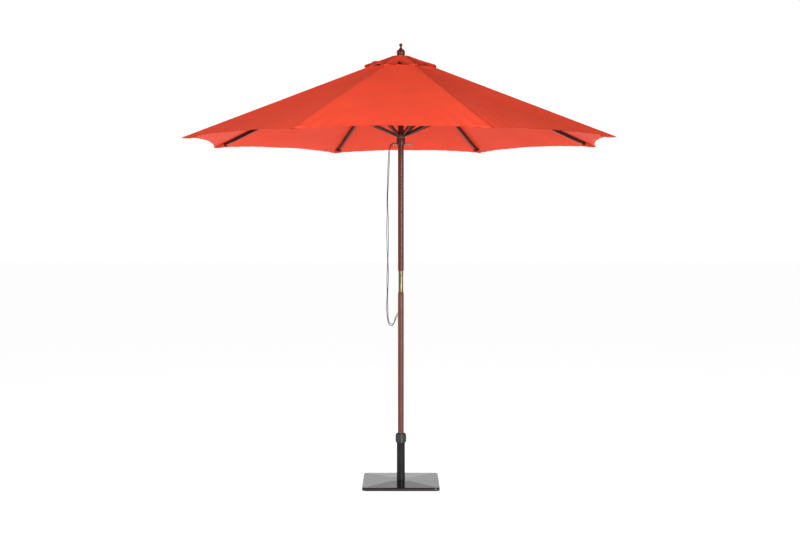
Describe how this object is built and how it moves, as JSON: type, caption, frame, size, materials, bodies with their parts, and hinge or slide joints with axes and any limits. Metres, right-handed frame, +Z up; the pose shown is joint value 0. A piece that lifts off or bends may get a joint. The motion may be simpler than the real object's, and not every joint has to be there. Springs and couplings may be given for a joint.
{
  "type": "patio umbrella",
  "caption": "Octagonal patio umbrella with a vent cap, folding wooden ribs and runner, a jointed wooden pole, and a square weighted base with a twist collar.",
  "frame": {"origin": "on the floor, on the axis of the mast, at the middle of the square base", "axes": "+Z up along the mast; the front edge of the square base faces -Y; +X is to the right seen from the front"},
  "size_m": [2.5324, 2.5324, 2.695],
  "materials": {
    "base_paint": "semi-gloss charcoal paint",
    "concrete": "cast concrete",
    "foot_rubber": "matte",
    "tube_paint": "semi-gloss black paint",
    "zinc_steel": "zinc plated",
    "bush_plastic": "moulded",
    "collar_plastic": "moulded, fine grain",
    "lower_pole_wood": "stained and varnished, orange brown",
    "upper_pole_wood": "stained and varnished, red brown",
    "brass": "aged satin brass",
    "bright_wire": "bright drawn wire",
    "turned_wood": "stained and varnished, dark red brown",
    "rib_wood": "stained, dark red brown",
    "canopy_cloth": "coral red woven polyester, lets light through",
    "cord": "grey braided cord"
  },
  "bodies": {
    "base": {"base_pan": "base_paint", "base_cover": "base_paint", "base_weight": "concrete", "base_feet": "foot_rubber", "base_tube": "tube_paint", "tube_plug": "zinc_steel", "base_bolt": "zinc_steel", "collet": "bush_plastic"},
    "collar": {"clamp_collar": "collar_plastic"},
    "lower_mast": {"lower_pole": "lower_pole_wood", "coupling_sleeve": "brass", "sleeve_pin": "brass"},
    "upper_mast": {"upper_pole": "upper_pole_wood", "coupling_spigot": "brass", "pulley_axle": "zinc_steel", "crown_hub": "turned_wood", "crown_wire": "bright_wire", "top_patch": "canopy_cloth", "finial_washer": "brass", "finial": "turned_wood", "finial_stud": "zinc_steel"},
    "pulley": {"pulley_wheel": "brass"},
    "runner": {"runner": "turned_wood", "runner_wire": "bright_wire", "cord_front": "cord", "cord_back": "cord", "cord_bead": "turned_wood"},
    "lock_pin": {"lock_pin": "bright_wire"},
    "rib_1": {"rib_1": "rib_wood", "rib_pin_1": "brass", "canopy_1": "canopy_cloth"},
    "strut_1": {"strut_1": "rib_wood"},
    "rib_2": {"rib_2": "rib_wood", "rib_pin_2": "brass", "canopy_2": "canopy_cloth"},
    "strut_2": {"strut_2": "rib_wood"},
    "rib_3": {"rib_3": "rib_wood", "rib_pin_3": "brass", "canopy_3": "canopy_cloth"},
    "strut_3": {"strut_3": "rib_wood"},
    "rib_4": {"rib_4": "rib_wood", "rib_pin_4": "brass", "canopy_4": "canopy_cloth"},
    "strut_4": {"strut_4": "rib_wood"},
    "rib_5": {"rib_5": "rib_wood", "rib_pin_5": "brass", "canopy_5": "canopy_cloth"},
    "strut_5": {"strut_5": "rib_wood"},
    "rib_6": {"rib_6": "rib_wood", "rib_pin_6": "brass", "canopy_6": "canopy_cloth"},
    "strut_6": {"strut_6": "rib_wood"},
    "rib_7": {"rib_7": "rib_wood", "rib_pin_7": "brass", "canopy_7": "canopy_cloth"},
    "strut_7": {"strut_7": "rib_wood"},
    "rib_8": {"rib_8": "rib_wood", "rib_pin_8": "brass", "canopy_8": "canopy_cloth"},
    "strut_8": {"strut_8": "rib_wood"}
  },
  "joints": [
    {"name": "collar_turn", "type": "hinge", "parent": "base", "child": "collar", "pos_m": [0, 0, 0.282], "axis": [0, 0, 1], "range_deg": [0, 270]},
    {"name": "mast_lift", "type": "slide", "parent": "base", "child": "lower_mast", "axis": [0, 0, 1], "range_m": [0, 0.24]},
    {"name": "upper_mast_lift", "type": "slide", "parent": "lower_mast", "child": "upper_mast", "axis": [0, 0, 1], "range_m": [0, 0.07]},
    {"name": "pulley_spin", "type": "hinge", "parent": "upper_mast", "child": "pulley", "pos_m": [0, 0, 2.4], "axis": [0, 1, 0], "continuous": true},
    {"name": "rib_1_fold", "type": "hinge", "parent": "upper_mast", "child": "rib_1", "pos_m": [0.00937, -0.02532, 2.6], "axis": [0.9379, 0.3469, 0], "range_deg": [0, 62], "deforming": ["canopy_1"]},
    {"name": "strut_1_turn", "type": "hinge", "parent": "rib_1", "child": "strut_1", "pos_m": [0.19949, -0.53928, 2.3652], "axis": [0.9379, 0.3469, 0], "range_deg": [-124, 0]},
    {"name": "rib_2_fold", "type": "hinge", "parent": "upper_mast", "child": "rib_2", "pos_m": [0.02453, -0.01128, 2.6], "axis": [0.4179, 0.9085, 0], "range_deg": [0, 62], "deforming": ["canopy_2"]},
    {"name": "strut_2_turn", "type": "hinge", "parent": "rib_2", "child": "strut_2", "pos_m": [0.52239, -0.24027, 2.3652], "axis": [0.4179, 0.9085, 0], "range_deg": [-124, 0]},
    {"name": "rib_3_fold", "type": "hinge", "parent": "upper_mast", "child": "rib_3", "pos_m": [0.02532, 0.00937, 2.6], "axis": [-0.3469, 0.9379, 0], "range_deg": [0, 62], "deforming": ["canopy_3"]},
    {"name": "strut_3_turn", "type": "hinge", "parent": "rib_3", "child": "strut_3", "pos_m": [0.53928, 0.19949, 2.3652], "axis": [-0.3469, 0.9379, 0], "range_deg": [-124, 0]},
    {"name": "rib_4_fold", "type": "hinge", "parent": "upper_mast", "child": "rib_4", "pos_m": [0.01128, 0.02453, 2.6], "axis": [-0.9085, 0.4179, 0], "range_deg": [0, 62], "deforming": ["canopy_4"]},
    {"name": "strut_4_turn", "type": "hinge", "parent": "rib_4", "child": "strut_4", "pos_m": [0.24027, 0.52239, 2.3652], "axis": [-0.9085, 0.4179, 0], "range_deg": [-124, 0]},
    {"name": "rib_5_fold", "type": "hinge", "parent": "upper_mast", "child": "rib_5", "pos_m": [-0.00937, 0.02532, 2.6], "axis": [-0.9379, -0.3469, 0], "range_deg": [0, 62], "deforming": ["canopy_5"]},
    {"name": "strut_5_turn", "type": "hinge", "parent": "rib_5", "child": "strut_5", "pos_m": [-0.19949, 0.53928, 2.3652], "axis": [-0.9379, -0.3469, 0], "range_deg": [-124, 0]},
    {"name": "rib_6_fold", "type": "hinge", "parent": "upper_mast", "child": "rib_6", "pos_m": [-0.02453, 0.01128, 2.6], "axis": [-0.4179, -0.9085, 0], "range_deg": [0, 62], "deforming": ["canopy_6"]},
    {"name": "strut_6_turn", "type": "hinge", "parent": "rib_6", "child": "strut_6", "pos_m": [-0.52239, 0.24027, 2.3652], "axis": [-0.4179, -0.9085, 0], "range_deg": [-124, 0]},
    {"name": "rib_7_fold", "type": "hinge", "parent": "upper_mast", "child": "rib_7", "pos_m": [-0.02532, -0.00937, 2.6], "axis": [0.3469, -0.9379, 0], "range_deg": [0, 62], "deforming": ["canopy_7"]},
    {"name": "strut_7_turn", "type": "hinge", "parent": "rib_7", "child": "strut_7", "pos_m": [-0.53928, -0.19949, 2.3652], "axis": [0.3469, -0.9379, 0], "range_deg": [-124, 0]},
    {"name": "rib_8_fold", "type": "hinge", "parent": "upper_mast", "child": "rib_8", "pos_m": [-0.01128, -0.02453, 2.6], "axis": [0.9085, -0.4179, 0], "range_deg": [0, 62], "deforming": ["canopy_8"]},
    {"name": "strut_8_turn", "type": "hinge", "parent": "rib_8", "child": "strut_8", "pos_m": [-0.24027, -0.52239, 2.3652], "axis": [0.9085, -0.4179, 0], "range_deg": [-124, 0]},
    {"name": "runner_carry", "type": "hinge", "parent": "strut_1", "child": "runner", "pos_m": [0.00937, -0.02532, 2.1304], "axis": [0.9379, 0.3469, 0], "range_deg": [0, 62]},
    {"name": "lock_pin_pull", "type": "slide", "parent": "runner", "child": "lock_pin", "axis": [-1, 0, 0], "range_m": [0, 0.095]}
  ],
  "couplings": [
    {"joint": "strut_1_turn", "follows": "rib_1_fold", "ratio": -2},
    {"joint": "rib_2_fold", "follows": "rib_1_fold", "ratio": 1},
    {"joint": "strut_2_turn", "follows": "rib_1_fold", "ratio": -2},
    {"joint": "rib_3_fold", "follows": "rib_1_fold", "ratio": 1},
    {"joint": "strut_3_turn", "follows": "rib_1_fold", "ratio": -2},
    {"joint": "rib_4_fold", "follows": "rib_1_fold", "ratio": 1},
    {"joint": "strut_4_turn", "follows": "rib_1_fold", "ratio": -2},
    {"joint": "rib_5_fold", "follows": "rib_1_fold", "ratio": 1},
    {"joint": "strut_5_turn", "follows": "rib_1_fold", "ratio": -2},
    {"joint": "rib_6_fold", "follows": "rib_1_fold", "ratio": 1},
    {"joint": "strut_6_turn", "follows": "rib_1_fold", "ratio": -2},
    {"joint": "rib_7_fold", "follows": "rib_1_fold", "ratio": 1},
    {"joint": "strut_7_turn", "follows": "rib_1_fold", "ratio": -2},
    {"joint": "rib_8_fold", "follows": "rib_1_fold", "ratio": 1},
    {"joint": "strut_8_turn", "follows": "rib_1_fold", "ratio": -2},
    {"joint": "runner_carry", "follows": "rib_1_fold", "ratio": 1}
  ]
}
